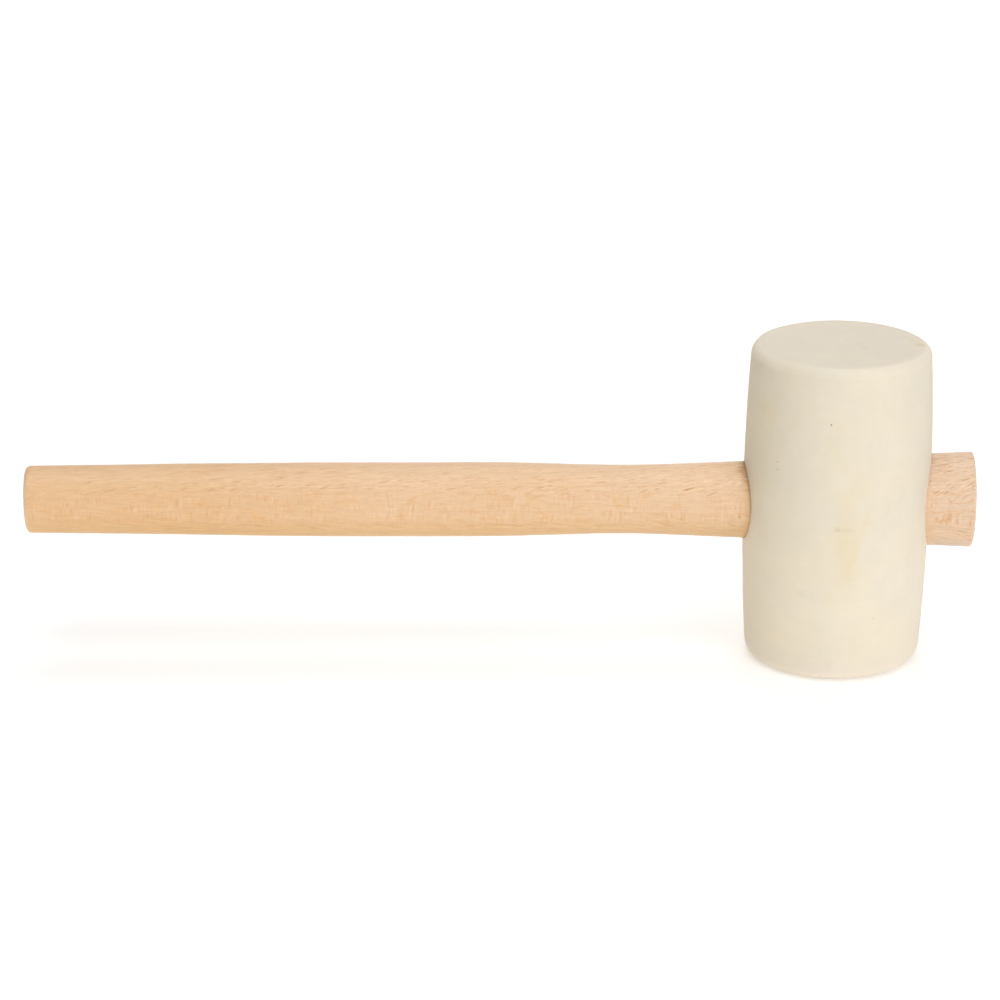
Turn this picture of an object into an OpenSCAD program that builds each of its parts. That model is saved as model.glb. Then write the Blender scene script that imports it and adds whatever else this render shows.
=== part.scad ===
// Rubber mallet: a solid white rubber head, barrel shaped, on a one-piece beech
// handle. The handle is oval, runs right through the head and flares towards its
// far end, so each swing draws the head up the taper and keeps it tight.
//
// Frame: millimetres, +Z up along the head's axis. The origin is the centre of the
// lower striking face. The handle lies along X, with the grip towards -X.

/* [Head] */
// Diameter of the head at its fullest section
head_d = 65; // [55:1:80]
// Length of the head from one striking face to the other
head_l = 114; // [90:1:140]
// Height of the fullest section above the lower face
belly_z = 60; // [45:1:64]
// How much the radius draws in by the upper face, before its edge is rounded
upper_draw = 1.7; // [0.5:0.1:3]
// How much the radius draws in by the lower face, before its edge is rounded
lower_draw = 2; // [0.5:0.1:3]
// Rounding of the upper striking face's edge
upper_edge_r = 4.3; // [2:0.1:8]
// Rounding of the lower striking face's edge
lower_edge_r = 5.2; // [2:0.1:8]

/* [Handle] */
// Distance from the head's axis to the end of the grip
grip_reach = 283.5; // [220:0.5:340]
// How far the flared end stands proud of the head's side
proud = 14.8; // [8:0.1:25]
// Width of the oval section over its height
oval = 0.8; // [0.7:0.01:1]
// Height of the oval at the end of the grip
butt_h = 24; // [20:0.1:30]
// Height of the oval along the swell of the grip
swell_h = 26.6; // [22:0.1:32]
// Height the straight runs draw in to at the neck
neck_h = 24.1; // [20:0.1:28]
// Height of the oval at the flared end
flare_h = 34; // [30:0.1:40]
// Distance from the head's axis to the grip end of the swell
swell_from = 176; // [156:1:200]
// Distance from the head's axis to the head end of the swell
swell_to = 116; // [112:1:120]
// Distance from the head's axis to the neck
neck_at = 74; // [65:1:78]
// Length over which one run blends into the next
blend_l = 31; // [10:1:32]
// Rounding of the grip end's edge
butt_edge_r = 1.6; // [0.5:0.1:4]
// Easing of the flared end's edge
flare_edge_r = 0.5; // [0.2:0.1:2]

/* [Hidden] */

head_r = head_d / 2;
flare_reach = head_r + proud;
// the handle passes through the head at half its height
eye_z = head_l / 2;

// the head's side: one arc from the belly up, one from the belly down
function side_r(z) = z > belly_z
    ? head_r - upper_draw * pow((z - belly_z) / (head_l - belly_z), 2)
    : head_r - lower_draw * pow((belly_z - z) / belly_z, 2);

// the handle's straight runs: half height of the oval against distance along X,
// run on past both ends so that the blends don't bend them there
runs = [
    [-grip_reach, butt_h / 2],
    [-swell_from, swell_h / 2],
    [-swell_to, swell_h / 2],
    [-neck_at, neck_h / 2],
    [flare_reach, flare_h / 2]
];
butt_slope = (runs[1][1] - runs[0][1]) / (runs[1][0] - runs[0][0]);
flare_slope = (runs[4][1] - runs[3][1]) / (runs[4][0] - runs[3][0]);
run_table = concat(
    [[-grip_reach - blend_l, butt_h / 2 - butt_slope * blend_l]],
    runs,
    [[flare_reach + blend_l, flare_h / 2 + flare_slope * blend_l]]
);

function sum(v, i = 0) = i < len(v) ? v[i] + sum(v, i + 1) : 0;

// half height of the oval: the runs averaged over one blend length
BLEND_STEPS = 24;
function half_h(x) = sum([
    for (i = [0 : BLEND_STEPS])
        lookup(x + blend_l * (i / BLEND_STEPS - 0.5), run_table)
        * ((i == 0 || i == BLEND_STEPS) ? 0.5 : 1)
]) / BLEND_STEPS;

// stations across one blend, from its start to its end
function blend_stations(c, n = 8) = [for (i = [0 : n]) c + blend_l * (i / n - 0.5)];

// outline of the head: radius against height
module head_outline() {
    upper_side_z = head_l - upper_edge_r;
    upper_c = side_r(upper_side_z) - upper_edge_r;
    lower_c = side_r(lower_edge_r) - lower_edge_r;
    n = 30;
    polygon(concat(
        [[0, 0]],
        [for (a = [0 : 10 : 80])
            [lower_c + lower_edge_r * sin(a), lower_edge_r * (1 - cos(a))]],
        [for (i = [0 : n])
            let (z = lower_edge_r + (upper_side_z - lower_edge_r) * i / n)
            [side_r(z), z]],
        [for (a = [10 : 10 : 90])
            [upper_c + upper_edge_r * cos(a), upper_side_z + upper_edge_r * sin(a)]],
        [[0, head_l]]
    ));
}

// outline of the handle: half height against distance from the grip end
module handle_outline() {
    polygon(concat(
        [[0, 0]],
        [for (a = [0 : 15 : 75])
            [half_h(butt_edge_r - grip_reach) - butt_edge_r * (1 - sin(a)),
             butt_edge_r * (1 - cos(a))]],
        [[half_h(butt_edge_r - grip_reach), butt_edge_r]],
        [for (x = concat(blend_stations(-swell_from), blend_stations(-swell_to),
                         blend_stations(-neck_at)))
            [half_h(x), x + grip_reach]],
        [[half_h(flare_reach - flare_edge_r), flare_reach - flare_edge_r + grip_reach]],
        [for (a = [30, 60, 90])
            [half_h(flare_reach - flare_edge_r) - flare_edge_r * (1 - cos(a)),
             flare_reach - flare_edge_r * (1 - sin(a)) + grip_reach]],
        [[0, flare_reach + grip_reach]]
    ));
}

// the tapered oval eye through the head, a straight taper that the handle fills
module eye() {
    reach = head_r + 6;
    translate([0, 0, eye_z])
        scale([1, oval, 1])
            translate([-reach, 0, 0])
                rotate([0, 90, 0])
                    cylinder(h = 2 * reach, r1 = half_h(-reach), r2 = half_h(reach), $fn = 120);
}

module rubber_head() {
    color([0.93, 0.90, 0.82])
        difference() {
            rotate_extrude($fn = 120) head_outline();
            eye();
        }
}

module handle() {
    color([0.92, 0.78, 0.62])
        translate([0, 0, eye_z])
            scale([1, oval, 1])
                translate([-grip_reach, 0, 0])
                    rotate([0, 90, 0])
                        rotate_extrude($fn = 120) handle_outline();
}

rubber_head();
handle();
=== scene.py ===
import math

import bmesh
import bpy
import numpy as np
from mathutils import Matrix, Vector


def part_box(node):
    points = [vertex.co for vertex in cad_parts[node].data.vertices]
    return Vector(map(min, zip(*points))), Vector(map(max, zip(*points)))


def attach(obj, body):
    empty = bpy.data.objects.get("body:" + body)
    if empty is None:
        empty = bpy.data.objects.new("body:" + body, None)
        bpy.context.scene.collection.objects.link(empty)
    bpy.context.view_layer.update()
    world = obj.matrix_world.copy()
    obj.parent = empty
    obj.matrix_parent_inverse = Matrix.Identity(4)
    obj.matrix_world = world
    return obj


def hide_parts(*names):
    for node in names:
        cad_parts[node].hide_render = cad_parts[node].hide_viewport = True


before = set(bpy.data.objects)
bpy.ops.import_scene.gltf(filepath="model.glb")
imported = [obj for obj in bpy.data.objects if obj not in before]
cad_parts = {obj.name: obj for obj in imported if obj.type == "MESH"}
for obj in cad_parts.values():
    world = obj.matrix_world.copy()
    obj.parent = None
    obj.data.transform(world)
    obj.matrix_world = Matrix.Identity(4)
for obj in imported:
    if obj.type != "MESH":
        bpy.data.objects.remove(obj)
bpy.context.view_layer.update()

MM = 0.001

# ------------------------------------------------------------------ sizes, in mm
h_lo, h_hi = (np.array(v, float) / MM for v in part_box("rubber_head"))
w_lo, w_hi = (np.array(v, float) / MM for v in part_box("handle"))
HEAD_L = float(h_hi[2] - h_lo[2])
HEAD_R = float(h_hi[1] - h_lo[1]) / 2
EYE_Z = HEAD_L / 2
BELLY_Z, UPPER_DRAW, LOWER_DRAW = 60.0, 1.7, 2.0
UPPER_EDGE, LOWER_EDGE = 4.3, 5.2
BUTT_X, END_X = float(w_lo[0]), float(w_hi[0])
OVAL, BLEND = 0.8, 31.0
BUTT_EDGE, END_EDGE = 1.6, 0.5
RUN_X = np.array([BUTT_X, -176.0, -116.0, -74.0, END_X])
RUN_H = np.array([12.0, 13.3, 13.3, 12.05, 17.0])


def side_r(z):
    """The head's radius at height z."""
    up = UPPER_DRAW * ((z - BELLY_Z) / (HEAD_L - BELLY_Z)) ** 2
    low = LOWER_DRAW * ((BELLY_Z - z) / BELLY_Z) ** 2
    return HEAD_R - np.where(z > BELLY_Z, up, low)


def half_h(x):
    """Half the height of the handle's oval at x: straight runs, averaged over one blend."""
    x = np.asarray(x, float)
    first = (RUN_H[1] - RUN_H[0]) / (RUN_X[1] - RUN_X[0])
    last = (RUN_H[4] - RUN_H[3]) / (RUN_X[4] - RUN_X[3])
    tx = np.concatenate([[RUN_X[0] - BLEND], RUN_X, [RUN_X[4] + BLEND]])
    th = np.concatenate([[RUN_H[0] - first * BLEND], RUN_H, [RUN_H[4] + last * BLEND]])
    total = np.zeros_like(x)
    for i in range(25):
        total += np.interp(x + BLEND * (i / 24 - 0.5), tx, th) * (0.5 if i in (0, 24) else 1.0)
    return total / 24


# ------------------------------------------------------------------ random fields
def waves(p, seed, scale, count=28):
    """A smooth random field of unit spread at points p. scale is the size of its features, one number or one for each axis."""
    rng = np.random.default_rng(seed)
    k = rng.normal(size=(count, p.shape[1]))
    k /= np.linalg.norm(k, axis=1)[:, None]
    k *= 2 * math.pi / rng.uniform(0.7, 1.6, (count, 1))
    phase = rng.uniform(0, 2 * math.pi, count)
    return np.cos((p / scale) @ k.T + phase).sum(1) * math.sqrt(2 / count)


def lines(t, around, seed, shortest, longest, count=40):
    """Fine parallel ridges across t that fade in and out slowly round the part."""
    rng = np.random.default_rng(seed)
    out = np.zeros_like(t)
    for _ in range(count):
        wave = math.exp(rng.uniform(math.log(shortest), math.log(longest)))
        fade = 0.6 + 0.4 * np.cos(around * rng.integers(1, 4) + rng.uniform(0, 6.28))
        out += fade * np.cos(2 * math.pi * t / wave + rng.uniform(0, 6.28) + 0.5 * np.cos(around + rng.uniform(0, 6.28)))
    return out * math.sqrt(2 / count)


def smooth(a, b, x):
    t = np.clip((x - a) / (b - a), 0, 1)
    return t * t * (3 - 2 * t)


# ------------------------------------------------------------------ mesh helpers
def grid_faces(rows, cols, base=0):
    """Quads of a grid of rows whose columns close into a ring."""
    r, c = np.meshgrid(np.arange(rows - 1), np.arange(cols), indexing="ij")
    c2 = (c + 1) % cols
    q = np.stack([r * cols + c, r * cols + c2, (r + 1) * cols + c2, (r + 1) * cols + c], -1)
    return (q.reshape(-1, 4) + base).tolist()


def make_object(name, verts, faces, material_of=None):
    me = bpy.data.meshes.new(name)
    me.from_pydata((np.asarray(verts) * MM).tolist(), [], faces)
    me.update()
    ob = bpy.data.objects.new(name, me)
    bpy.context.scene.collection.objects.link(ob)
    if material_of is not None:
        me.polygons.foreach_set("material_index", np.asarray(material_of, np.int32))
    return ob


def tidy(ob, merge):
    """Welds seams, makes every face look outwards and shades the whole smooth."""
    bm = bmesh.new()
    bm.from_mesh(ob.data)
    bmesh.ops.remove_doubles(bm, verts=bm.verts, dist=merge * MM)
    bmesh.ops.recalc_face_normals(bm, faces=bm.faces)
    if bm.calc_volume(signed=True) < 0:
        bmesh.ops.reverse_faces(bm, faces=bm.faces)
    bm.to_mesh(ob.data)
    bm.free()
    ob.data.polygons.foreach_set("use_smooth", np.ones(len(ob.data.polygons), bool))
    ob.data.update()


def point_values(ob, name, values):
    a = ob.data.attributes.new(name, "FLOAT", "POINT")
    a.data.foreach_set("value", np.asarray(values, np.float32))


def points_of(ob):
    co = np.zeros(len(ob.data.vertices) * 3, np.float32)
    ob.data.vertices.foreach_get("co", co)
    return co.reshape(-1, 3).astype(float) / MM


# ------------------------------------------------------------------ rubber head
K = 112  # columns on each side of the square grid round an eye mouth
N = 4 * K
LIP_OUT, LIP_IN = 0.16, 0.3  # how far the mouth's rounding reaches over the side and into the eye

z_lo, z_hi = LOWER_EDGE, HEAD_L - UPPER_EDGE
s = np.arange(K) / K
edge_t = np.concatenate([-90 + 180 * s, np.full(K, 90.0), 90 - 180 * s, np.full(K, -90.0)])
edge_z = np.concatenate([np.full(K, z_lo), z_lo + (z_hi - z_lo) * s, np.full(K, z_hi), z_hi - (z_hi - z_lo) * s])
edge_t = np.radians(edge_t)
phi = np.arctan2(edge_z - EYE_Z, HEAD_R * edge_t)


def mouth(side, grow):
    """Where the oval, grown by grow, meets the head's side: points in mm."""
    x = np.full(N, side * HEAD_R)
    for _ in range(40):
        a = half_h(x)
        y = (OVAL * a + grow) * np.cos(phi)
        z = EYE_Z + (a + grow) * np.sin(phi)
        x = side * np.sqrt(side_r(z) ** 2 - y**2)
    return np.stack([x, y, z], -1)


def eye_wall(x):
    a = half_h(x)
    return np.stack([x, OVAL * a * np.cos(phi), EYE_Z + a * np.sin(phi)], -1)


def half_grid(side, rows):
    """Rows from the mouth's lip out to the square that ends halfway round the head."""
    start = mouth(side, LIP_OUT)
    t0, z0 = np.arctan2(start[:, 1], side * start[:, 0]), start[:, 2]
    out = []
    for j in range(rows + 1):
        f = (j / rows) ** 1.12
        t, z = t0 + (edge_t - t0) * f, z0 + (edge_z - z0) * f
        r = side_r(z)
        out.append(np.stack([side * r * np.cos(t), r * np.sin(t), z], -1))
    return out


def lip_rows(side, n=9):
    """Rows of the rounding, from inside the eye to the head's side."""
    corner, out_pt = mouth(side, 0.0), mouth(side, LIP_OUT)
    in_pt = eye_wall(corner[:, 0] - side * LIP_IN)
    rows = []
    for i in range(n + 1):
        t = i / n
        rows.append((1 - t) ** 2 * in_pt + 2 * t * (1 - t) * corner + t * t * out_pt)
    return rows


rows = half_grid(1, 64)[::-1]
weights = [1.0] * len(rows)
lip = lip_rows(1)[::-1][1:]
rows += lip
weights += [1 - (i + 1) / len(lip) for i in range(len(lip))]
near, far = lip_rows(-1)[0][:, 0], lip_rows(1)[0][:, 0]
for f in (0.15, 0.4, 0.65, 0.88):
    rows.append(eye_wall(far + (near - far) * f))
    weights.append(0.0)
lip = lip_rows(-1)
rows += lip[:-1]
weights += [i / len(lip[:-1]) for i in range(len(lip[:-1]))]
more = half_grid(-1, 64)
rows += more
weights += [1.0] * len(more)

n_rows = len(rows)
v = np.concatenate(rows)
w = np.repeat(weights, N)
ang = np.arctan2(v[:, 1], v[:, 0])
slope = (side_r(v[:, 2] + 0.05) - side_r(v[:, 2] - 0.05)) / 0.1
nrm = np.stack([np.cos(ang), np.sin(ang), -slope], -1)
nrm /= np.linalg.norm(nrm, axis=1)[:, None]
faces = grid_faces(n_rows, N)
rim = np.zeros(len(v))
side_share = np.ones(len(v))

plus, minus = rows[0], rows[-1]


def cap(columns, edge, z_side, up, base):
    """The rounded edge and flat face at one end, from the ring of side points down to the centre."""
    cols = list(columns[0]), list(columns[1])
    ring = np.concatenate([plus[cols[0]], minus[cols[1]]])
    a = np.arctan2(ring[:, 1], ring[:, 0])
    n = len(ring)
    r0 = float(side_r(np.array(z_side)))
    lean = float(side_r(np.array(z_side + 0.05)) - side_r(np.array(z_side - 0.05))) / 0.1
    vs, ns, rims, sides = [], [], [], []
    for k in range(0, 11):
        q = math.radians(9 * k)
        r = r0 - edge + edge * math.cos(q)
        z = z_side + up * edge * math.sin(q)
        vs.append(np.stack([r * np.cos(a), r * np.sin(a), np.full(n, z)], -1))
        if k:
            ns.append(np.stack([np.cos(a) * math.cos(q), np.sin(a) * math.cos(q), np.full(n, up * math.sin(q))], -1))
        else:  # the first ring is also the side's last, so it moves just as that does
            ns.append(np.stack([np.cos(a), np.sin(a), np.full(n, -lean)], -1) / math.hypot(1, lean))
        rims.append(np.full(n, math.sin(2 * q)))
        sides.append(np.full(n, math.cos(q)))
    flat = r0 - edge
    for k in range(1, 25):
        r = flat * (1 - k / 25)
        vs.append(np.stack([r * np.cos(a), r * np.sin(a), np.full(n, z_side + up * edge)], -1))
        ns.append(np.tile([0, 0, up], (n, 1)))
        rims.append(np.zeros(n))
        sides.append(np.zeros(n))
    f = grid_faces(len(vs), n, base)
    centre = base + len(vs) * n
    last = base + (len(vs) - 1) * n
    f += [[last + i, last + (i + 1) % n, centre] for i in range(n)]
    vs = np.concatenate(vs + [np.array([[0, 0, z_side + up * edge]])])
    ns = np.concatenate(ns + [np.array([[0, 0, up]])])
    rims = np.concatenate(rims + [np.zeros(1)])
    sides = np.concatenate(sides + [np.zeros(1)])
    return vs, ns, rims, sides, f


top_cols = (range(2 * K, 3 * K + 1), range(3 * K - 1, 2 * K, -1))
low_cols = (range(0, K + 1), range(K - 1, 0, -1))
for columns, edge, z_side, up in ((top_cols, UPPER_EDGE, z_hi, 1.0), (low_cols, LOWER_EDGE, z_lo, -1.0)):
    vs, ns, rims, sides, f = cap(columns, edge, z_side, up, len(v))
    v, nrm = np.concatenate([v, vs]), np.concatenate([nrm, ns])
    w = np.concatenate([w, np.ones(len(vs))])
    rim, side_share = np.concatenate([rim, rims]), np.concatenate([side_share, sides])
    faces += f

ang = np.arctan2(v[:, 1], v[:, 0])
ring_xy = np.stack([np.cos(ang), np.sin(ang), v[:, 2] / 40], -1)
lift = 0.055 * waves(v, 11, 46.0) + 0.022 * waves(v, 12, 17.0) + 0.008 * waves(v, 13, 7.0)
lift += 0.008 * lines(v[:, 2], ang, 14, 2.6, 8.0) * side_share
lift += rim * (0.10 * waves(ring_xy, 15, 1.3) + 0.05 * waves(ring_xy, 16, 0.5))
flat_end = 1 - smooth(0.0, 0.35, side_share)
lift = lift * (1 - 0.75 * flat_end)
lift -= flat_end * 0.05  # the faces are a hair hollow, so the box stays the CAD's
v = v + nrm * (lift * w)[:, None]

head = make_object("mallet_head", v, faces)
tidy(head, 0.002)

# small open pores in the rubber's skin: (angle round the head, height, width)
PORES = [
    (-101.2, 94.5, 0.75), (-135.9, 78.7, 0.8), (-135.6, 76.2, 0.55), (-162.3, 35.7, 0.6),
    (-69.8, 24.2, 0.38), (38.0, 88.0, 0.6), (71.0, 31.0, 0.8), (112.0, 64.0, 0.55),
    (149.0, 96.0, 0.6), (24.0, 20.0, 0.5), (95.0, 100.5, 0.5), (-22.0, 97.0, 0.5),
]
bm = bmesh.new()
bm.from_mesh(head.data)
bm.faces.ensure_lookup_table()
centres = np.array([f.calc_center_median() for f in bm.faces]) / MM
chosen = []
for deg, z, width in PORES:
    r = float(side_r(np.array(z)))
    p = np.array([r * math.cos(math.radians(deg)), r * math.sin(math.radians(deg)), z])
    chosen.append((bm.faces[int(np.argmin(((centres - p) ** 2).sum(1)))], width))
for f, width in chosen:
    size = math.sqrt(f.calc_area()) / MM
    inset = max(0.04, (size - width) / 2)
    bmesh.ops.inset_individual(bm, faces=[f], thickness=inset * MM, depth=0, use_even_offset=True)
    bmesh.ops.inset_individual(bm, faces=[f], thickness=0.10 * width * MM, depth=-0.22 * MM, use_even_offset=True)
    bmesh.ops.inset_individual(bm, faces=[f], thickness=0.15 * width * MM, depth=-0.16 * MM, use_even_offset=True)
bm.to_mesh(head.data)
bm.free()
head.data.polygons.foreach_set("use_smooth", np.ones(len(head.data.polygons), bool))

p = points_of(head)
around = np.arctan2(p[:, 1], p[:, 0])
radius = np.hypot(p[:, 0], p[:, 1])


def blob(deg, z, width, height, seed, rough=0.35):
    """A soft patch on the head's side, in mm, with an uneven outline."""
    da = (around - math.radians(deg) + math.pi) % (2 * math.pi) - math.pi
    d = np.hypot(da * HEAD_R / (width / 2), (p[:, 2] - z) / (height / 2))
    d = d * np.maximum(0.5, 1 + rough * 0.5 * waves(p, seed, 9.0))
    return (1 - smooth(0.15, 1.0, d)) * (radius > HEAD_R - 8)


def spot(at, size):
    """A soft round patch anywhere on the head, in mm."""
    return 1 - smooth(0.15, 1.0, np.linalg.norm(p - at, axis=1) / size)


stain = 0.38 * blob(-88.5, 53.0, 16.5, 74, 31, 0.5) + 0.30 * blob(-88.5, 53.5, 15.5, 34, 32, 0.5) + 0.18 * blob(-91, 53.0, 8, 22, 33, 0.5)
stain += 0.24 * blob(-96.5, 88, 3.5, 20, 47, 0.4)
run = np.clip((p[:, 2] - 43.0) / 22.6, 0, 1)  # a thin streak that leans to the right as it climbs
lean = (around - np.radians(-86.3 + 10.7 * run)) * HEAD_R
stain += 0.42 * np.exp(-((lean / 1.3) ** 2)) * smooth(36.0, 46.0, p[:, 2]) * (1 - smooth(60.0, 68.0, p[:, 2])) * (radius > HEAD_R - 8)
stain += 1.0 * spot((26.9, -1.4, 113.5), 3.4) + 0.6 * spot((25.6, 4.2, 113.8), 3.2) + 0.5 * spot((23.8, 7.8, 113.9), 3.2)
stain += 0.5 * blob(-95.4, 57.6, 5.0, 3.2, 38, 0.2) + 0.4 * blob(62, 78, 18, 22, 35) + 0.45 * blob(140, 30, 12, 20, 36)
stain += 0.3 * blob(-150, 96, 16, 12, 37)
stain += 0.16 * smooth(0.1, 1.3, waves(np.stack([around * 6.0, p[:, 2] * 0.05, around * 0], -1), 40, 0.7)) * (radius > HEAD_R - 8) * smooth(-0.4, 0.8, waves(p, 41, 22.0))
point_values(head, "stain", np.clip(stain, 0, 1))
smudge = 0.62 * blob(-94.9, 57.6, 3.4, 2.8, 42, 0.3) + 0.34 * blob(-89.0, 57.3, 9.0, 2.0, 43, 0.3) + 0.22 * blob(-116, 32.7, 4.4, 4.0, 44)
smudge += 0.3 * spot((6.9, -4.9, 113.95), 1.8) + 0.32 * spot((26.9, -1.4, 113.5), 2.8) + 0.3 * blob(48, 66, 5, 2, 45) + 0.3 * blob(118, 88, 3, 2, 46)
point_values(head, "smudge", np.clip(smudge, 0, 1))
pore = np.zeros(len(p))
for deg, z, width in PORES:
    r = float(side_r(np.array(z)))
    c = np.array([r * math.cos(math.radians(deg)), r * math.sin(math.radians(deg)), z])
    d = np.sqrt(((p - c) ** 2).sum(1))
    pore = np.maximum(pore, (d < width * 1.2) * smooth(0.03, 0.16, r - radius + 0.02 * (d < 0.1)))
point_values(head, "pore", pore)
eye_gap = []
for side in (1, -1):
    a = half_h(np.clip(p[:, 0], -60, 47))
    out = np.hypot(p[:, 1] / (OVAL * a), (p[:, 2] - EYE_Z) / a) - 1
    eye_gap.append(np.where(side * p[:, 0] > 0, out * 12.0, 99.0))
gap = np.minimum(*eye_gap)
point_values(head, "mouth", 1 - smooth(0.0, 2.4, gap))

# ------------------------------------------------------------------ beech handle
COLS = 176
turn = np.arange(COLS) * 2 * math.pi / COLS
x_side = [BUTT_X + BUTT_EDGE]
for limit, step in ((-37.0, 0.62), (-29.6, 0.25), (-27.0, 1.0), (-8.0, 7.0), (20.0, 9.0), (28.0, 1.5), (35.0, 0.3), (END_X - END_EDGE - 0.5, 0.45)):
    while x_side[-1] < limit:
        x_side.append(x_side[-1] + step)
x_side[-1] = END_X - END_EDGE

rings, normals, weight, is_end = [], [], [], []


def ring(x, inset, nx, share, end):
    a = half_h(np.array([min(max(x, BUTT_X + BUTT_EDGE), END_X - END_EDGE)]))[0]
    y, z = (OVAL * a - inset) * np.cos(turn), (a - inset) * np.sin(turn)
    rings.append(np.stack([np.full(COLS, x), y, z + EYE_Z], -1))
    ny, nz = np.cos(turn) / OVAL, np.sin(turn)
    length = np.hypot(ny, nz)
    c = math.sqrt(max(0.0, 1 - nx * nx))
    normals.append(np.stack([np.full(COLS, nx), c * ny / length, c * nz / length], -1))
    weight.append(share)
    is_end.append(end)


def end_disc(x, edge, facing):
    """Concentric rings from the rim of an end face to near its centre."""
    a = half_h(np.array([x + (-facing) * edge]))[0]
    flat_z, flat_y = a - edge, OVAL * a - edge
    out = []
    for k in range(1, 15):
        f = 1 - k / 15
        out.append(np.stack([np.full(COLS, x), flat_y * f * np.cos(turn), EYE_Z + flat_z * f * np.sin(turn)], -1))
    return out


disc = end_disc(BUTT_X, BUTT_EDGE, -1)[::-1]
for d in disc:
    rings.append(d)
    normals.append(np.tile([-1.0, 0, 0], (COLS, 1)))
    weight.append(1.0)
    is_end.append(1.0)
for k in range(0, 8):
    q = math.radians(90 * k / 8)  # 0 at the end face, 90 at the side
    ring(BUTT_X + BUTT_EDGE * (1 - math.cos(q)), BUTT_EDGE * (1 - math.sin(q)), -math.cos(q), 1.0, 1.0 if k == 0 else 0.0)
for x in x_side:
    ring(x, 0.0, 0.0, float(smooth(29.0, 33.5, abs(x))), 0.0)
for k in range(1, 6):
    q = math.radians(90 * k / 5)  # 0 at the side, 90 at the end face
    ring(END_X - END_EDGE * (1 - math.sin(q)), END_EDGE * (1 - math.cos(q)), math.sin(q), 1.0, 1.0 if k == 5 else 0.0)
for d in end_disc(END_X, END_EDGE, 1):
    rings.append(d)
    normals.append(np.tile([1.0, 0, 0], (COLS, 1)))
    weight.append(1.0)
    is_end.append(1.0)

hv = np.concatenate(rings)
hn = np.concatenate(normals)
hw = np.repeat(weight, COLS)
end_row = np.array(is_end)
hf = grid_faces(len(rings), COLS)
mats = np.repeat((end_row[:-1] + end_row[1:]) / 2 > 0.75, COLS).astype(int).tolist()
first, last = len(hv), len(hv) + 1
hf += [[first, (i + 1) % COLS, i] for i in range(COLS)]
base = (len(rings) - 1) * COLS
hf += [[last, base + i, base + (i + 1) % COLS] for i in range(COLS)]
mats += [1] * (2 * COLS)
hv = np.concatenate([hv, [[BUTT_X, 0, EYE_Z], [END_X, 0, EYE_Z]]])
hn = np.concatenate([hn, [[-1.0, 0, 0], [1.0, 0, 0]]])
hw = np.concatenate([hw, [1.0, 1.0]])

rel = hv - [0, 0, EYE_Z]
turn_of = np.arctan2(rel[:, 2], rel[:, 1] / OVAL)
ends = np.abs(hn[:, 0])
lift = 0.045 * waves(rel, 51, np.array([70.0, 14.0, 14.0])) + 0.015 * waves(rel, 52, np.array([16.0, 5.0, 5.0]))
lift += 0.006 * waves(rel, 53, np.array([9.0, 1.6, 1.6]))
lift += 0.003 * np.cos(2 * math.pi * rel[:, 0] / 2.7 + 1.5 * waves(rel, 54, 60.0))
corner = np.clip(1 - np.abs(ends - 0.6) / 0.6, 0, 1)
lift -= corner * np.abs(0.10 * waves(np.stack([rel[:, 0] / 8, np.cos(turn_of), np.sin(turn_of)], -1), 55, 0.35))
saw = 0.02 * lines(rel[:, 2] * 0.94 + rel[:, 1] * 0.34, turn_of * 0, 56, 1.4, 6.0)
lift = np.where(ends > 0.9, saw - 0.05, lift)

# short bruised grooves where the stick was driven through the eye
scuff = np.zeros(len(hv))
SCUFFS = (
    (-1.0, [(97, 2.6, 1.0), (105, 3.4, 0.8), (90, 2.2, 0.9), (112, 2.4, 0.7), (83, 1.6, 0.6), (76, 2.8, 0.35), (121, 3.2, 0.4), (63, 1.2, 0.4), (128, 2.2, 0.7), (135, 3.0, 0.5), (143, 1.4, 0.5), (151, 3.8, 0.3), (-98, 1.6, 0.7), (-86, 1.0, 0.6), (20, 1.2, 0.25), (-60, 1.4, 0.3)]),
    (1.0, [(82, 1.6, 0.4), (140, 2.0, 0.35), (-100, 1.4, 0.4), (30, 1.4, 0.3), (-20, 1.0, 0.25)]),
)
from_side = np.hypot(rel[:, 0], rel[:, 1]) - side_r(rel[:, 2] + EYE_Z)  # how far out of the head, in mm
for out_dir, spots in SCUFFS:
    for deg, length, strength in spots:
        da = (turn_of - math.radians(deg) + math.pi) % (2 * math.pi) - math.pi
        across = da * 13.0 + 0.2 * np.cos(from_side * 1.9 + deg)
        m = np.exp(-((across / 0.42) ** 2)) * (1 - smooth(0.2 * length, length, from_side)) * smooth(-2.5, -0.8, from_side)
        scuff = np.maximum(scuff, m * strength * (rel[:, 0] * out_dir > 0))
nub = np.zeros(len(hv))
for out_dir, deg, wide, length, strength in ((-1.0, -93, 2.0, 0.9, 1.0), (-1.0, 98, 2.6, 0.8, 0.8), (1.0, -84, 1.6, 0.7, 0.35)):
    da = (turn_of - math.radians(deg) + math.pi) % (2 * math.pi) - math.pi
    m = np.exp(-((da * 13.0 / wide) ** 2)) * (1 - smooth(0.3 * length, 1.3 * length, from_side)) * smooth(-1.2, -0.2, from_side)
    nub = np.maximum(nub, m * strength * (rel[:, 0] * out_dir > 0))
scuff *= ends < 0.5
nub *= ends < 0.5
lift = lift - 0.12 * scuff + 0.22 * nub * smooth(-0.1, 0.35, from_side) * smooth(0.1, 0.6, nub)
hv = hv + hn * (lift * hw)[:, None]

handle = make_object("beech_handle", hv, hf, mats)
point_values(handle, "scuff", scuff)
point_values(handle, "nub", nub)
tidy(handle, 0.0005)


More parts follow.
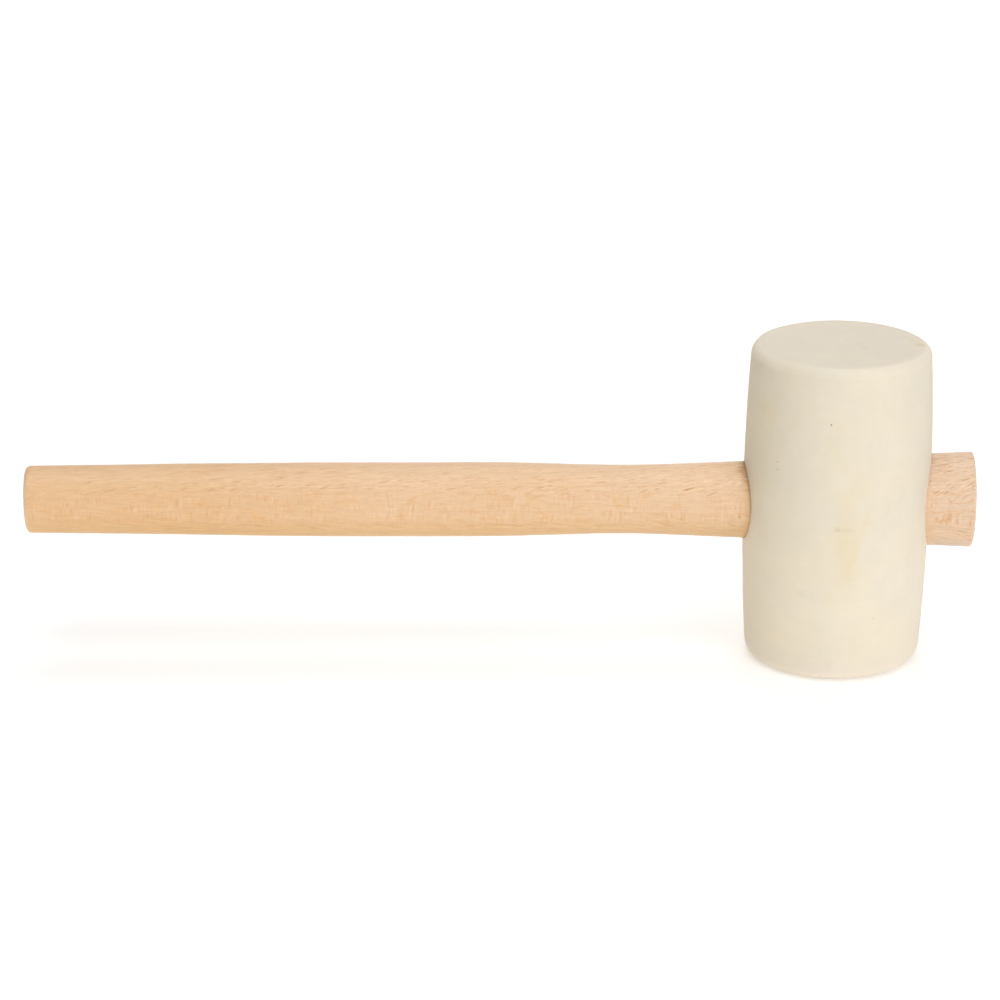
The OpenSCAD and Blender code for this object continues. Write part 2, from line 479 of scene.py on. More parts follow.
# ------------------------------------------------------------------ material helpers
class Graph:
    """A material's node tree, with short calls for the nodes used here."""

    def __init__(self, name):
        self.mat = bpy.data.materials.new(name)
        self.mat.use_nodes = True
        self.nt = self.mat.node_tree
        self.nt.nodes.clear()
        self.out = self.node("ShaderNodeOutputMaterial")
        self.bsdf = self.node("ShaderNodeBsdfPrincipled")
        self.link(self.bsdf.outputs["BSDF"], self.out.inputs["Surface"])

    def node(self, kind, **props):
        n = self.nt.nodes.new(kind)
        for k, val in props.items():
            setattr(n, k, val)
        return n

    def link(self, a, b):
        self.nt.links.new(a, b)

    def put(self, socket, value):
        if isinstance(value, bpy.types.NodeSocket):
            self.link(value, socket)
        elif value is not None:
            socket.default_value = value

    def math(self, op, a, b=None, c=None, clamp=False):
        n = self.node("ShaderNodeMath", operation=op, use_clamp=clamp)
        for i, val in enumerate((a, b, c)):
            if val is not None:
                self.put(n.inputs[i], val)
        return n.outputs[0]

    def vmath(self, op, a, b=None, scale=None):
        n = self.node("ShaderNodeVectorMath", operation=op)
        self.put(n.inputs[0], a)
        if b is not None:
            self.put(n.inputs[1], b)
        if scale is not None:
            self.put(n.inputs["Scale"], scale)
        return n.outputs["Value"] if op in ("DOT_PRODUCT", "LENGTH", "DISTANCE") else n.outputs["Vector"]

    def vec(self, x, y, z):
        n = self.node("ShaderNodeCombineXYZ")
        for i, val in enumerate((x, y, z)):
            self.put(n.inputs[i], val)
        return n.outputs[0]

    def split(self, v):
        n = self.node("ShaderNodeSeparateXYZ")
        self.link(v, n.inputs[0])
        return n.outputs

    def noise(self, v, scale=1.0, detail=2.0, rough=0.5, distort=0.0):
        n = self.node("ShaderNodeTexNoise", noise_dimensions="3D")
        self.put(n.inputs["Vector"], v)
        n.inputs["Scale"].default_value = scale
        n.inputs["Detail"].default_value = detail
        n.inputs["Roughness"].default_value = rough
        n.inputs["Distortion"].default_value = distort
        return n.outputs["Fac"]

    def cells(self, v, scale=1.0, rand=1.0):
        n = self.node("ShaderNodeTexVoronoi", voronoi_dimensions="3D", feature="F1")
        self.put(n.inputs["Vector"], v)
        n.inputs["Scale"].default_value = scale
        n.inputs["Randomness"].default_value = rand
        return n.outputs["Distance"], n.outputs["Color"]

    def remap(self, x, a, b, lo=0.0, hi=1.0, kind="SMOOTHSTEP"):
        n = self.node("ShaderNodeMapRange", interpolation_type=kind, clamp=True) if kind == "LINEAR" else self.node("ShaderNodeMapRange", interpolation_type=kind)
        self.put(n.inputs["Value"], x)
        for key, val in (("From Min", a), ("From Max", b), ("To Min", lo), ("To Max", hi)):
            n.inputs[key].default_value = val
        return n.outputs["Result"]

    def mix(self, fac, a, b, blend="MIX"):
        n = self.node("ShaderNodeMix", data_type="RGBA", blend_type=blend, clamp_factor=True)
        self.put(n.inputs["Factor"], fac)
        for sock, val in (("A", a), ("B", b)):
            target = [i for i in n.inputs if i.name == sock and i.type == "RGBA"][0]
            if isinstance(val, tuple):
                target.default_value = (*val, 1.0)
            else:
                self.put(target, val)
        return [o for o in n.outputs if o.type == "RGBA"][0]

    def attr(self, name):
        return self.node("ShaderNodeAttribute", attribute_name=name, attribute_type="GEOMETRY").outputs["Fac"]

    def mm(self):
        return self.vmath("SCALE", self.node("ShaderNodeTexCoord").outputs["Object"], scale=1000.0)

    def bump(self, height_mm, strength=1.0, normal=None):
        n = self.node("ShaderNodeBump")
        n.inputs["Strength"].default_value = strength
        n.inputs["Distance"].default_value = 0.001
        self.put(n.inputs["Height"], height_mm)
        if normal is not None:
            self.link(normal, n.inputs["Normal"])
        return n.outputs["Normal"]


# ------------------------------------------------------------------ white rubber
def white_rubber():
    g = Graph("white_rubber")
    p = g.mm()
    x, y, z = g.split(p)
    r = g.math("SQRT", g.math("ADD", g.math("MULTIPLY", x, x), g.math("MULTIPLY", y, y)))
    normal = g.split(g.node("ShaderNodeTexCoord").outputs["Normal"])
    face = g.remap(g.math("ABSOLUTE", normal[2]), 0.55, 0.95)  # 1 on the striking faces

    cloud = g.noise(p, 0.06, 3.0, 0.55)
    mottle = g.noise(p, 0.22, 4.0, 0.6)
    grain = g.noise(p, 1.6, 3.0, 0.6)
    # turning marks: rings at one height on the side, circles on the faces
    on_side = g.noise(g.vec(g.math("MULTIPLY", x, 0.012), g.math("MULTIPLY", y, 0.012), g.math("MULTIPLY", z, 1.5)), 1.0, 4.0, 0.75)
    on_face = g.noise(g.vec(g.math("MULTIPLY", x, 0.02), g.math("MULTIPLY", y, 0.02), g.math("MULTIPLY", r, 1.1)), 1.0, 4.0, 0.7)
    turned = g.math("ADD", g.math("MULTIPLY", on_side, g.math("SUBTRACT", 1.0, face)), g.math("MULTIPLY", on_face, face))

    tone = g.math("ADD", g.math("MULTIPLY", g.math("SUBTRACT", cloud, 0.5), 0.10), g.math("MULTIPLY", g.math("SUBTRACT", mottle, 0.5), 0.07))
    tone = g.math("ADD", tone, g.math("MULTIPLY", g.math("SUBTRACT", grain, 0.5), 0.035))
    tone = g.math("ADD", tone, g.math("MULTIPLY", g.math("SUBTRACT", turned, 0.5), 0.05))
    warm = g.remap(g.noise(p, 0.045, 2.0, 0.5), 0.35, 0.7)
    base = g.mix(warm, (0.794, 0.710, 0.571), (0.803, 0.710, 0.554))
    base = g.mix(g.math("MULTIPLY", g.attr("stain"), 0.82), base, (0.775, 0.658, 0.440))
    base = g.mix(g.math("MULTIPLY", g.attr("smudge"), 0.60), base, (0.52, 0.47, 0.33))
    specks = g.cells(p, 0.35)
    dot = g.math("MULTIPLY", g.remap(specks[0], 0.10, 0.03), g.remap(g.split(specks[1])[0], 0.72, 0.76))
    base = g.mix(g.math("MULTIPLY", dot, 0.30), base, (0.52, 0.44, 0.33))
    # painted shade: the inside of each pore is darkened
    base = g.mix(g.math("MULTIPLY", g.attr("pore"), 0.70), base, (0.26, 0.21, 0.14))
    base = g.mix(g.remap(g.vmath("DISTANCE", p, (0.3, 5.2, HEAD_L)), 0.9, 0.3, 0.0, 0.5), base, (0.90, 0.84, 0.74))  # a pale speck
    # painted shade in the recess round each eye mouth, broken up by noise
    mouth_shade = g.math("MULTIPLY", g.attr("mouth"), g.remap(g.noise(p, 0.5, 3.0, 0.6), 0.3, 0.75))
    base = g.mix(g.math("MULTIPLY", mouth_shade, 0.14), base, (0.60, 0.50, 0.37))
    # painted light and shade: the side is made paler low down and darker high up
    drift = g.math("MULTIPLY", g.remap(z, 18.0, 96.0, 0.034, -0.022), g.math("SUBTRACT", 1.0, face))
    # painted shade: the side by the grip is made a little darker and greyer
    drift = g.math("ADD", drift, g.math("MULTIPLY", g.remap(x, -24.0, -31.5, 0.0, -0.045), g.math("SUBTRACT", 1.0, face)))
    bright = g.math("ADD", g.math("ADD", 1.0, tone), drift)
    # painted highlight: the upper rounding is a little paler; painted cool light: the face above it and the lower edge
    # are a little cooler
    painted_rim_highlight = g.math("MULTIPLY", g.remap(normal[2], 0.05, 0.45), g.remap(normal[2], 1.0, 0.93))
    bright = g.math("ADD", bright, g.math("MULTIPLY", g.math("MULTIPLY", painted_rim_highlight, g.remap(z, 107.0, 110.5)), 0.046))
    painted_cool_light = g.math("ADD", g.math("MULTIPLY", g.remap(normal[2], 0.2, 0.9, 0.0, 0.028), g.remap(z, 107.0, 110.5)), g.remap(z, 15.0, 2.0, 0.0, 0.042))
    base = g.mix(1.0, base, g.vec(bright, bright, g.math("ADD", bright, painted_cool_light)), "MULTIPLY")
    g.link(base, g.bsdf.inputs["Base Color"])

    rough = g.math("ADD", 0.60, g.math("MULTIPLY", mottle, 0.12))
    g.link(g.math("ADD", rough, g.math("MULTIPLY", turned, 0.05)), g.bsdf.inputs["Roughness"])
    g.bsdf.inputs["IOR"].default_value = 1.5
    g.bsdf.inputs["Subsurface Weight"].default_value = 0.0

    height = g.math("MULTIPLY", mottle, 0.05)
    height = g.math("ADD", height, g.math("MULTIPLY", grain, 0.018))
    height = g.math("ADD", height, g.math("MULTIPLY", turned, 0.022))
    fine = g.noise(p, 5.5, 2.0, 0.5)
    height = g.math("ADD", height, g.math("MULTIPLY", fine, 0.006))
    g.link(g.bump(height), g.bsdf.inputs["Normal"])
    return g.mat


# ------------------------------------------------------------------ beech
ALPHA, BETA = math.radians(6.0), math.radians(1.4)  # the stick's run-out from the grain
UX = Vector((math.cos(ALPHA) * math.cos(BETA), math.sin(ALPHA) * math.cos(BETA), -math.sin(BETA))).normalized()
UZ = Vector((math.sin(BETA), 0.0, math.cos(BETA)))
UZ = (UZ - UX * UX.dot(UZ)).normalized()
UY = UZ.cross(UX)


def beech(end):
    """Beech with its figure in three dimensions: growth rings, and rays that show as dashes on the flat-sawn sides, as bars on the quarter-sawn ones and as streaks on the ends."""
    g = Graph("beech_end" if end else "beech")
    p = g.vmath("SUBTRACT", g.mm(), (0.0, 0.0, EYE_Z))
    px, py, pz = g.split(p)
    normal = g.node("ShaderNodeTexCoord").outputs["Normal"]
    warp = g.noise(g.vmath("MULTIPLY", p, (0.010, 0.05, 0.05)), 1.0, 2.0, 0.5)
    warp2 = g.noise(g.vmath("MULTIPLY", g.vmath("ADD", p, (71.0, 13.0, 5.0)), (0.02, 0.08, 0.08)), 1.0, 2.0, 0.5)
    ripple = g.noise(g.vmath("MULTIPLY", p, (0.16, 0.5, 0.3)), 1.0, 2.0, 0.5)
    u = g.vmath("DOT_PRODUCT", p, tuple(UX))
    t = g.math("ADD", g.vmath("DOT_PRODUCT", p, tuple(UY)), g.math("MULTIPLY", g.math("SUBTRACT", warp, 0.5), 2.4))
    t = g.math("ADD", t, g.math("MULTIPLY", g.math("SUBTRACT", ripple, 0.5), 0.42))
    t = g.math("SUBTRACT", t, g.math("MULTIPLY", g.math("MAXIMUM", g.math("SUBTRACT", px, 24.0), 0.0), 0.05))
    q = g.math("ADD", g.vmath("DOT_PRODUCT", p, tuple(UZ)), g.math("MULTIPLY", g.math("SUBTRACT", warp2, 0.5), 2.6))
    if end:
        quarter = 0.0
    else:
        quarter = g.remap(g.math("ABSOLUTE", g.vmath("DOT_PRODUCT", normal, tuple(UY))), 0.88, 0.985)

    # growth rings round a pith well below the stick
    ty, tz = g.math("SUBTRACT", t, -3.0), g.math("SUBTRACT", q, -62.0)
    radius = g.math("SQRT", g.math("ADD", g.math("MULTIPLY", ty, ty), g.math("MULTIPLY", tz, tz)))
    phase = g.math("ADD", g.math("DIVIDE", radius, 2.7), g.math("MULTIPLY", g.noise(g.vec(g.math("MULTIPLY", u, 0.01), 0.0, g.math("MULTIPLY", radius, 0.16)), 1.0, 2.0, 0.5), 2.4))
    saw = g.math("FRACT", phase)
    late = g.math("MULTIPLY", g.remap(saw, 0.25, 0.93), g.remap(saw, 1.0, 0.94))
    year = g.noise(g.vec(0.0, 0.0, g.math("FLOOR", phase)), 3.7, 0.0, 0.5)

    # rays: thin lenses of many sizes, standing radially
    def rays(lx, ly, lz, shift, reach, soft, share):
        v = g.vec(g.math("DIVIDE", g.math("ADD", u, shift), lx), g.math("DIVIDE", t, ly), g.math("DIVIDE", g.math("ADD", q, shift), lz))
        d, c = g.cells(v)
        pick = g.split(c)
        size = g.math("MULTIPLY", reach, g.math("ADD", 0.45, g.math("MULTIPLY", pick[2], 0.55)))
        body = g.math("DIVIDE", g.math("SUBTRACT", size, d), soft, clamp=True)
        return g.math("MULTIPLY", body, g.remap(pick[0], share, share + 0.08)), pick[1]

    big, big_tone = rays(7.4, 0.42, 7.5, 0.0, 0.40, 0.11, 0.55)
    mid, mid_tone = rays(4.4, 0.34, 5.0, 37.0, 0.44, 0.13, 0.30)
    small, small_tone = rays(2.6, 0.28, 3.4, 91.0, 0.44, 0.17, 0.20)

    # fibre, vessels, and the flecks of the quarter-sawn sides
    fibre = g.noise(g.vec(g.math("MULTIPLY", u, 0.10), g.math("MULTIPLY", t, 1.7), g.math("MULTIPLY", q, 1.7)), 1.0, 4.0, 0.62)
    silk = g.noise(g.vec(g.math("MULTIPLY", u, 0.42), g.math("MULTIPLY", t, 5.0), g.math("MULTIPLY", q, 5.0)), 1.0, 3.0, 0.6)
    strand = g.noise(g.vec(g.math("MULTIPLY", u, 0.045), g.math("MULTIPLY", t, 1.35), g.math("MULTIPLY", q, 1.35)), 1.0, 3.0, 0.6)
    smear = g.noise(g.vec(g.math("MULTIPLY", u, 0.17), g.math("MULTIPLY", t, 0.5), g.math("MULTIPLY", q, 0.72)), 1.0, 2.0, 0.5)
    bars = g.noise(g.vec(g.math("MULTIPLY", u, 1.15), g.math("MULTIPLY", t, 0.30), g.math("MULTIPLY", q, 0.23)), 1.0, 3.0, 0.6)
    groups = g.noise(g.vec(g.math("MULTIPLY", u, 0.12), g.math("MULTIPLY", t, 0.30), g.math("MULTIPLY", q, 0.20)), 1.0, 2.0, 0.55)
    broad = g.noise(g.vec(g.math("MULTIPLY", u, 0.020), g.math("MULTIPLY", t, 0.09), g.math("MULTIPLY", q, 0.09)), 1.0, 3.0, 0.5)
    patch = g.noise(g.vec(g.math("MULTIPLY", u, 0.15), g.math("MULTIPLY", t, 0.22), g.math("MULTIPLY", q, 0.20)), 1.0, 3.0, 0.6)

    pale, honey = (0.850, 0.590, 0.385), (0.812, 0.520, 0.295)
    along = g.remap(px, -283.0, 47.0, 0.66, 0.20, "LINEAR")  # the grip end is the warmer
    warm = g.math("ADD", along, g.math("MULTIPLY", g.math("SUBTRACT", broad, 0.5), 0.9), clamp=True)
    base = g.mix(warm, pale, honey)
    stub = g.remap(px, 20.0, 36.0, 1.0, 1.6)  # the raw end past the head shows its figure more
    spot = g.math("MULTIPLY", g.remap(patch, 0.53, 0.72, 0.0, 0.60), g.math("ADD", 0.30, g.math("MULTIPLY", quarter, 0.70)))
    base = g.mix(spot, base, (0.835, 0.490, 0.225))
    fleck = g.math("MULTIPLY", quarter, g.remap(groups, 0.41, 0.57))
    fleck = g.math("MULTIPLY", fleck, stub)
    base = g.mix(g.math("MULTIPLY", fleck, g.remap(bars, 0.52, 0.66, 0.0, 0.52)), base, (0.76, 0.405, 0.175))
    base = g.mix(g.math("MULTIPLY", fleck, g.remap(bars, 0.48, 0.34, 0.0, 0.42)), base, (0.90, 0.66, 0.47))
    skim = g.math("MULTIPLY", g.remap(quarter, 0.05, 0.5), g.remap(smear, 0.55, 0.68, 0.0, 0.40))
    base = g.mix(g.math("MULTIPLY", skim, stub), base, (0.80, 0.440, 0.195))
    flat = g.math("SUBTRACT", 1.0, g.math("MULTIPLY", quarter, 0.88))
    low = g.remap(pz, -9.0, -2.0, 0.6, 1.0)
    lens = g.math("MULTIPLY", g.math("MULTIPLY", flat, low), g.math("MULTIPLY", stub, g.remap(px, -230.0, -60.0, 1.05, 1.5, "LINEAR")))
    base = g.mix(g.math("MULTIPLY", late, g.remap(year, 0.3, 0.7, 0.35, 0.80) if end else g.remap(year, 0.3, 0.7, 0.03, 0.14)), base, (0.62, 0.365, 0.195) if end else (0.70, 0.43, 0.245))
    if end:
        # the end grain: rays run up and down it as fine streaks, and the vessels show as dots
        streak = g.noise(g.vec(g.math("MULTIPLY", u, 0.05), g.math("MULTIPLY", t, 2.6), g.math("MULTIPLY", q, 0.10)), 1.0, 3.0, 0.6)
        base = g.mix(g.remap(streak, 0.53, 0.68, 0.0, 0.50), base, (0.56, 0.33, 0.17))
        base = g.mix(g.remap(streak, 0.46, 0.33, 0.0, 0.40), base, (0.93, 0.73, 0.54))
        dots = g.cells(g.vec(g.math("MULTIPLY", u, 0.2), g.math("MULTIPLY", t, 3.4), g.math("MULTIPLY", q, 3.4)))
        base = g.mix(g.math("MULTIPLY", g.remap(dots[0], 0.34, 0.16), g.remap(g.split(dots[1])[0], 0.25, 0.6, 0.0, 0.42)), base, (0.42, 0.24, 0.12))
        cut = g.math("ADD", g.math("MULTIPLY", pz, 0.94), g.math("MULTIPLY", py, 0.34))
        marks = g.noise(g.vec(g.math("MULTIPLY", py, 0.04), g.math("MULTIPLY", cut, 1.3), 0.0), 1.0, 3.0, 0.6)
        base = g.mix(g.remap(marks, 0.55, 0.72, 0.0, 0.30), base, (0.60, 0.37, 0.20))
    fine_dark = g.math("MULTIPLY", g.math("MULTIPLY", small, lens), g.remap(small_tone, 0.50, 0.60, 0.0, 0.30))
    fine_pale = g.math("MULTIPLY", g.math("MULTIPLY", small, lens), g.remap(small_tone, 0.50, 0.40, 0.0, 0.38))
    base = g.mix(fine_dark, base, (0.73, 0.390, 0.175))
    base = g.mix(fine_pale, base, (0.92, 0.69, 0.50))
    base = g.mix(g.math("MULTIPLY", g.math("MULTIPLY", mid, lens), g.remap(mid_tone, 0.2, 0.9, 0.14, 0.54)), base, (0.68, 0.355, 0.150))
    base = g.mix(g.math("MULTIPLY", g.math("MULTIPLY", big, lens), g.remap(big_tone, 0.1, 0.9, 0.16, 0.60)), base, (0.62, 0.315, 0.130))
    tone = g.math("ADD", g.math("MULTIPLY", g.math("SUBTRACT", fibre, 0.5), 0.28), g.math("MULTIPLY", g.math("SUBTRACT", silk, 0.5), 0.13))
    tone = g.math("ADD", tone, g.math("MULTIPLY", g.math("SUBTRACT", strand, 0.5), 0.30))
    tone = g.math("MULTIPLY", tone, g.math("MULTIPLY", g.math("MULTIPLY_ADD", stub, 0.42, 0.55), g.math("MULTIPLY_ADD", quarter, -0.32, 1.0)))
    whole = 0.88 if end else 1.0
    bright = g.vec(*(g.math("MULTIPLY_ADD", tone, k, whole) for k in (0.80, 1.12, 1.40)))  # paler streaks are also greyer
    base = g.mix(1.0, base, bright, "MULTIPLY")
    # how the stick's colour drifts from the grip to the flared end; the darker last stop, on the stub, is partly
    # painted shade
    drift = g.node("ShaderNodeValToRGB")
    g.link(g.remap(px, BUTT_X, END_X, 0.0, 1.0, "LINEAR"), drift.inputs["Fac"])
    stops = [(-283.0, (0.985, 0.95, 0.86)), (-222.0, (0.970, 0.93, 0.83)), (-160.0, (0.985, 0.975, 0.94)), (-100.0, (0.965, 0.95, 0.90)), (-50.0, (0.955, 0.955, 0.94)), (12.0, (0.95, 0.955, 0.96)), (38.0, (0.90, 0.935, 1.0))]
    ramp = drift.color_ramp
    for i, (at, col) in enumerate(stops):
        place = (at - BUTT_X) / (END_X - BUTT_X)
        el = ramp.elements[i] if i < 2 else ramp.elements.new(place)
        el.position = place
        el.color = (*col, 1.0)
    base = g.mix(0.25 if end else 1.0, base, drift.outputs["Color"], "MULTIPLY")
    # painted highlight: a paler, cooler band along the upper flank of the handle
    painted_highlight_band = g.math("MULTIPLY", g.remap(pz, 0.5, 6.0), g.remap(pz, 13.0, 9.0))
    base = g.mix(painted_highlight_band, base, g.mix(1.0, base, (1.045, 1.055, 1.09), "MULTIPLY"))
    # painted shade: the underside is made darker and more yellow, less so on the stub
    under = g.math("MULTIPLY", g.remap(pz, 0.0, -12.0, 0.0, 0.72), g.remap(px, 20.0, 34.0, 1.0, 0.35))
    base = g.mix(under, base, g.mix(1.0, base, (0.79, 0.72, 0.47), "MULTIPLY"))
    belly = g.math("MULTIPLY", g.remap(pz, -8.0, -15.0), g.remap(px, 26.0, 36.0))
    base = g.mix(belly, base, g.mix(1.0, base, (0.93, 0.965, 1.08), "MULTIPLY"))
    base = g.mix(g.remap(px, BUTT_X + 1.9, BUTT_X + 0.3, 0.0, 0.55), base, (0.95, 0.70, 0.45))  # painted light on the butt's rounded corner, which faces away from the lamps
    # painted shade along the rim of the flared end
    base = g.mix(g.remap(px, END_X - 0.9, END_X - 0.2, 0.0, 0.5), base, (0.74, 0.60, 0.46))
    if not end:
        # painted shade all round each mouth of the eye: a dark line where wood meets rubber, a softer halo beside it,
        # and darker streaks above it
        head_z = g.math("ADD", pz, EYE_Z - BELLY_Z)
        draw = g.math("MULTIPLY", g.math("MULTIPLY", head_z, head_z), UPPER_DRAW / (HEAD_L - BELLY_Z) ** 2)
        out = g.math("SQRT", g.math("ADD", g.math("MULTIPLY", px, px), g.math("MULTIPLY", py, py)))
        out = g.math("SUBTRACT", out, g.math("SUBTRACT", HEAD_R, draw))
        rag = g.math("MULTIPLY", g.math("SUBTRACT", g.noise(p, 0.9, 3.0, 0.6), 0.5), 0.5)
        # painted shade: a dark line along the wood where it meets the rubber, in the gap between them
        painted_gap_line = g.remap(g.math("ADD", out, rag), 0.95, 0.15)
        near = g.math("MULTIPLY", g.remap(px, -5.0, 5.0, 1.0, 0.12, "LINEAR"), g.remap(pz, -4.0, 12.0, 0.42, 0.80))
        # painted shade: a softer brown halo on the wood beside the mouth
        painted_mouth_halo = g.math("MULTIPLY", g.remap(g.math("ADD", out, rag), 2.9, 0.3, 0.0, 0.55), g.remap(px, -5.0, 5.0, 1.0, 0.10, "LINEAR"))
        # streaks along the fibre that break up the painted shade above the mouth
        shade_streaks = g.remap(g.math("ADD", g.math("MULTIPLY", strand, 0.6), g.math("MULTIPLY", fibre, 0.4)), 0.56, 0.42, 0.15, 1.0)
        shade = g.math("MULTIPLY", g.remap(g.math("ADD", out, g.math("MULTIPLY", rag, 5.0)), 4.6, 0.0), g.remap(pz, 7.0, 12.5, 0.05, 0.80))
        shade = g.math("MULTIPLY", g.math("MULTIPLY", shade, shade_streaks), g.remap(px, -5.0, 5.0, 1.0, 0.2, "LINEAR"))
        base = g.mix(painted_mouth_halo, base, (0.66, 0.41, 0.18))
        base = g.mix(shade, base, (0.46, 0.235, 0.050))
        # the bruised grooves are darkened: partly the wood's own bruising, partly painted shade inside them and under
        # the mouth
        base = g.mix(g.math("MULTIPLY", g.attr("scuff"), 0.80), base, (0.32, 0.165, 0.065))
        # painted shade on the small lumps of wood at the mouths
        base = g.mix(g.math("MULTIPLY", g.attr("nub"), 0.70), base, (0.42, 0.235, 0.075))
        base = g.mix(g.math("MULTIPLY", painted_gap_line, near), base, (0.36, 0.20, 0.085))
        for at, size in (((-34.5, -10.68, -2.7), 0.68), ((-121.0, 6.63, 10.4), 0.5), ((-206.0, 10.07, -3.0), 0.55)):
            base = g.mix(g.remap(g.vmath("DISTANCE", p, at), size, 0.4 * size, 0.0, 0.50), base, (0.46, 0.26, 0.10))  # pin knots
    g.link(base, g.bsdf.inputs["Base Color"])

    rough = g.math("ADD", 0.70 if end else 0.36, g.math("MULTIPLY", fibre, 0.14))
    g.link(g.math("SUBTRACT", rough, g.math("MULTIPLY", big, 0.05)), g.bsdf.inputs["Roughness"])
    g.bsdf.inputs["IOR"].default_value = 1.5

    height = g.math("MULTIPLY", fibre, 0.05 if end else 0.030)
    height = g.math("ADD", height, g.math("MULTIPLY", silk, 0.05 if end else 0.014))
    height = g.math("SUBTRACT", height, g.math("MULTIPLY", big, 0.020))
    height = g.math("SUBTRACT", height, g.math("MULTIPLY", mid, 0.010))
    height = g.math("ADD", height, g.math("MULTIPLY", late, 0.006))
    if end:
        height = g.math("ADD", height, g.math("MULTIPLY", marks, -0.14))
        height = g.math("SUBTRACT", height, g.math("MULTIPLY", g.remap(dots[0], 0.34, 0.16), 0.03))
    g.link(g.bump(height), g.bsdf.inputs["Normal"])
    return g.mat


head.data.materials.append(white_rubber())
handle.data.materials.append(beech(False))
handle.data.materials.append(beech(True))
me = handle.data
index = np.zeros(len(me.polygons), np.int32)
centre_x = np.array([f.center.x for f in me.polygons]) / MM
facing = np.array([abs(f.normal.x) for f in me.polygons])
index[(facing > 0.93) & ((centre_x < BUTT_X + 0.6) | (centre_x > END_X - 0.4))] = 1
me.polygons.foreach_set("material_index", index)
me.update()

for ob, node, slot in ((head, "rubber_head", "white_rubber"), (handle, "handle", "beech")):
    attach(ob, "root")
    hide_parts(node)

# ------------------------------------------------------------------ floor and light
WORLD, FLOOR_GLOW = 0.90, 0.30
floor_mesh = bpy.data.meshes.new("floor")
floor_mesh.from_pydata([(-60, -60, 0), (60, -60, 0), (60, 60, 0), (-60, 60, 0)], [], [(0, 1, 2, 3)])
floor = bpy.data.objects.new("floor", floor_mesh)
bpy.context.scene.collection.objects.link(floor)
g = Graph("floor_paper")
g.bsdf.inputs["Base Color"].default_value = (0.92, 0.92, 0.92, 1)
g.bsdf.inputs["Roughness"].default_value = 0.9
g.bsdf.inputs["Specular IOR Level"].default_value = 0.1
g.bsdf.inputs["Emission Color"].default_value = (1, 1, 1, 1)
away_m = g.vmath("LENGTH", g.node("ShaderNodeTexCoord").outputs["Object"])
# the floor glows: painted light, weaker near the mallet, stronger further out and a little weaker to the left
far = g.math("ADD", g.remap(away_m, 0.5, 1.8, FLOOR_GLOW, FLOOR_GLOW + 0.19), g.remap(away_m, 1.3, 2.8, 0.0, 0.30))
far = g.math("MULTIPLY", far, g.remap(g.split(g.node("ShaderNodeTexCoord").outputs["Object"])[0], -1.4, -0.3, 0.80, 1.0))
g.link(far, g.bsdf.inputs["Emission Strength"])
floor_mesh.materials.append(g.mat)

world = bpy.data.worlds.new("studio")
bpy.context.scene.world = world
world.use_nodes = True
wt = world.node_tree
sky = wt.nodes["Background"]
sky.inputs["Strength"].default_value = WORLD
# a pale wall all round, up to some 12 degrees above the floor, under a dimmer ceiling
way = wt.nodes.new("ShaderNodeTexCoord")
up = wt.nodes.new("ShaderNodeSeparateXYZ")
wall = wt.nodes.new("ShaderNodeMapRange")
wall.interpolation_type = "SMOOTHSTEP"
for key, val in (("From Min", 0.12), ("From Max", 0.34), ("To Min", 1.0), ("To Max", 0.10)):
    wall.inputs[key].default_value = val
tint = wt.nodes.new("ShaderNodeCombineColor")
side = wt.nodes.new("ShaderNodeMapRange")  # the left of the room is a little dimmer
side.interpolation_type = "SMOOTHSTEP"
for key, val in (("From Min", -1.0), ("From Max", 0.1), ("To Min", 0.80), ("To Max", 1.0)):
    side.inputs[key].default_value = val
both = wt.nodes.new("ShaderNodeMath")
both.operation = "MULTIPLY"
wt.links.new(way.outputs["Generated"], up.inputs[0])
wt.links.new(up.outputs[2], wall.inputs["Value"])
wt.links.new(up.outputs[0], side.inputs["Value"])
wt.links.new(wall.outputs["Result"], both.inputs[0])
wt.links.new(side.outputs["Result"], both.inputs[1])
warmer = wt.nodes.new("ShaderNodeMath")
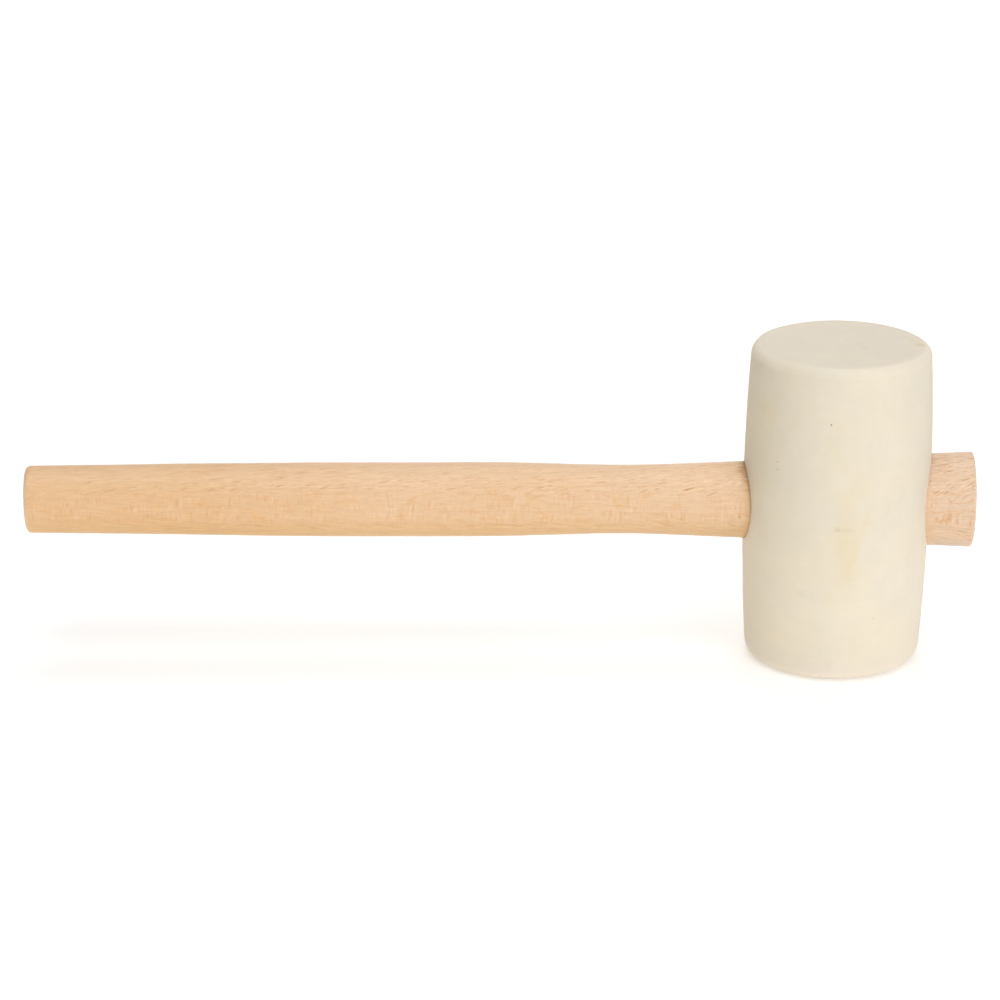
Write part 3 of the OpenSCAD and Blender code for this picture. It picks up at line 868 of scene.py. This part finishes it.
warmer.operation = "MULTIPLY"
wt.links.new(both.outputs[0], warmer.inputs[0])
wt.links.new(side.outputs["Result"], warmer.inputs[1])
for i in range(3):
    wt.links.new(warmer.outputs[0] if i == 2 else both.outputs[0], tint.inputs[i])
wt.links.new(tint.outputs[0], sky.inputs["Color"])

AIM = Vector((-0.03, 0.0, 0.055))


def panel(name, azimuth, height, power, colour=(1, 1, 1), size=0.9, away=1.7):
    """A soft square panel; azimuth and height in degrees, seen from the mallet."""
    a, e = math.radians(azimuth), math.radians(height)
    where = AIM + away * Vector((math.cos(e) * math.cos(a), math.cos(e) * math.sin(a), math.sin(e)))
    light = bpy.data.lights.new(name, "AREA")
    light.shape = "SQUARE"
    light.size = size
    light.energy = power
    light.color = colour
    ob = bpy.data.objects.new(name, light)
    ob.location = where
    ob.rotation_mode = "QUATERNION"
    ob.rotation_quaternion = (where - AIM).to_track_quat("Z", "Y")
    bpy.context.scene.collection.objects.link(ob)


panel("key", -56, 5, 9.2, (0.98, 1.0, 1.09))
panel("front", -90, 5, 0.9, (1.0, 0.98, 0.70))
panel("top", -90, 89, 14.6, (0.99, 1.0, 1.04), size=1.8)
panel("front_top", -88, 57, 8.0, (1.0, 1.0, 0.95), size=1.5)
panel("back_top", 90, 62, 4.9)
panel("back", 90, 25, 3.2)

# ------------------------------------------------------------------ camera
ELEV, REACH = math.radians(19.951), 1.1107
LOOK = Vector((-0.11770, 0.0, 0.05670))
cam_data = bpy.data.cameras.new("camera")
cam_data.sensor_width = 36.0
cam_data.lens = 3170.95 * 36.0 / 1000.0
cam = bpy.data.objects.new("camera", cam_data)
cam.location = LOOK + Vector((0.0, -math.cos(ELEV), math.sin(ELEV))) * REACH
cam.rotation_euler = (math.pi / 2 - ELEV, 0.0, 0.0)
cam_data.clip_start, cam_data.clip_end = 0.01, 100.0
bpy.context.scene.collection.objects.link(cam)
bpy.context.scene.camera = cam

bpy.context.scene.view_settings.view_transform = "Standard"
bpy.context.scene.view_settings.look = "None"
